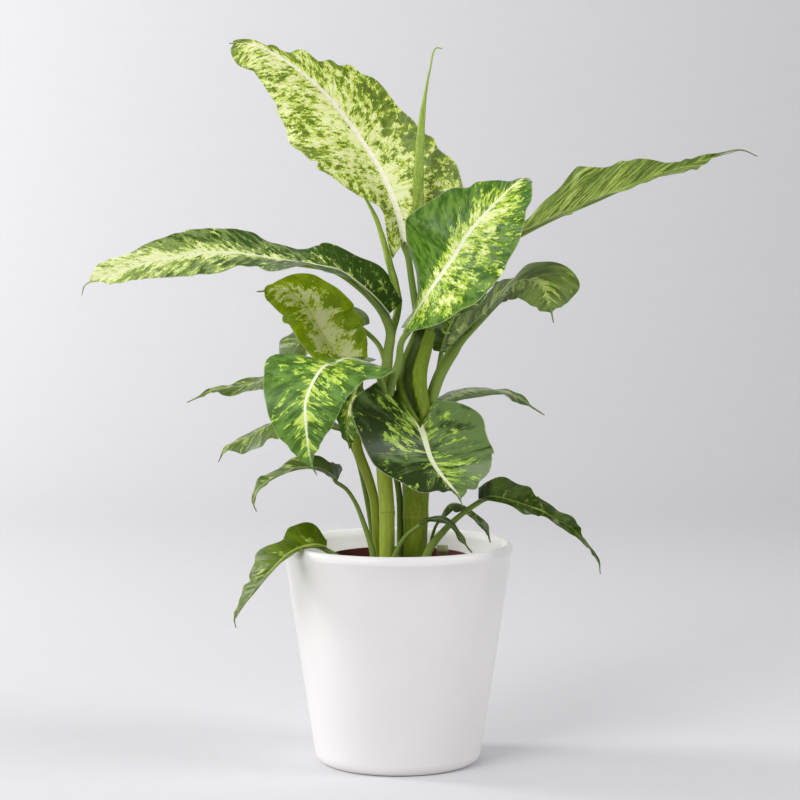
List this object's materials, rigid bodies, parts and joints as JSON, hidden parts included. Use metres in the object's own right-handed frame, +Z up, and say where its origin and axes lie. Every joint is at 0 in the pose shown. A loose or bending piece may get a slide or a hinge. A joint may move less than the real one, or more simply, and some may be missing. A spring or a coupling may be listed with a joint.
{
  "type": "potted dieffenbachia",
  "caption": "Bushy variegated foliage plant on upright canes, with broad arching leaves, rooted in a plastic nursery pot that stands inside a glazed tapered planter.",
  "frame": {"origin": "centre of the planter's flat underside, on the surface it stands on", "axes": "+Z up along the planter's axis; -Y towards the front of the plant; +X to the right when seen from the front"},
  "size_m": [0.55, 0.1868, 0.5913],
  "materials": {
    "glaze": "satin white glaze, softly rounded lip",
    "nursery_plastic": "thin dark red-brown plastic",
    "soil": "dark, fine and crumbly peat",
    "cane": "smooth green-olive cane with faint leaf scars",
    "cut_stem": "pale dry cut stem",
    "young_leaf": "rolled young leaf, satin, pale streaks",
    "leaf_cream": "satin leaf, mostly cream with green flecks and margins",
    "leaf_green": "satin leaf, green with cream along the veins"
  },
  "bodies": {
    "root": {"planter": "glaze", "nursery_pot": "nursery_plastic", "cane_right": "cane", "cane_left": "cane", "cane_side": "cane", "cut_stub": "cut_stem", "spear_right": "young_leaf", "spear_left": "young_leaf", "leaf_top": "leaf_cream", "leaf_front_upper": "leaf_green", "leaf_long_left": "leaf_cream", "leaf_mid_left": "leaf_cream", "leaf_front_left": "leaf_green", "leaf_front_lower": "leaf_green", "leaf_long_right": "leaf_green", "leaf_mid_right": "leaf_green", "leaf_small_right": "leaf_green", "leaf_low_right": "leaf_green", "leaf_over_rim": "leaf_green", "leaf_low_left": "leaf_green", "leaf_thin_left": "leaf_green", "leaf_lower_left": "leaf_green", "leaf_back_left": "leaf_green", "leaf_behind_fork": "leaf_green", "leaf_back_right": "leaf_green", "leaf_basal_front": "leaf_green", "leaf_basal_back": "leaf_green", "soil": "soil"}
  },
  "joints": []
}
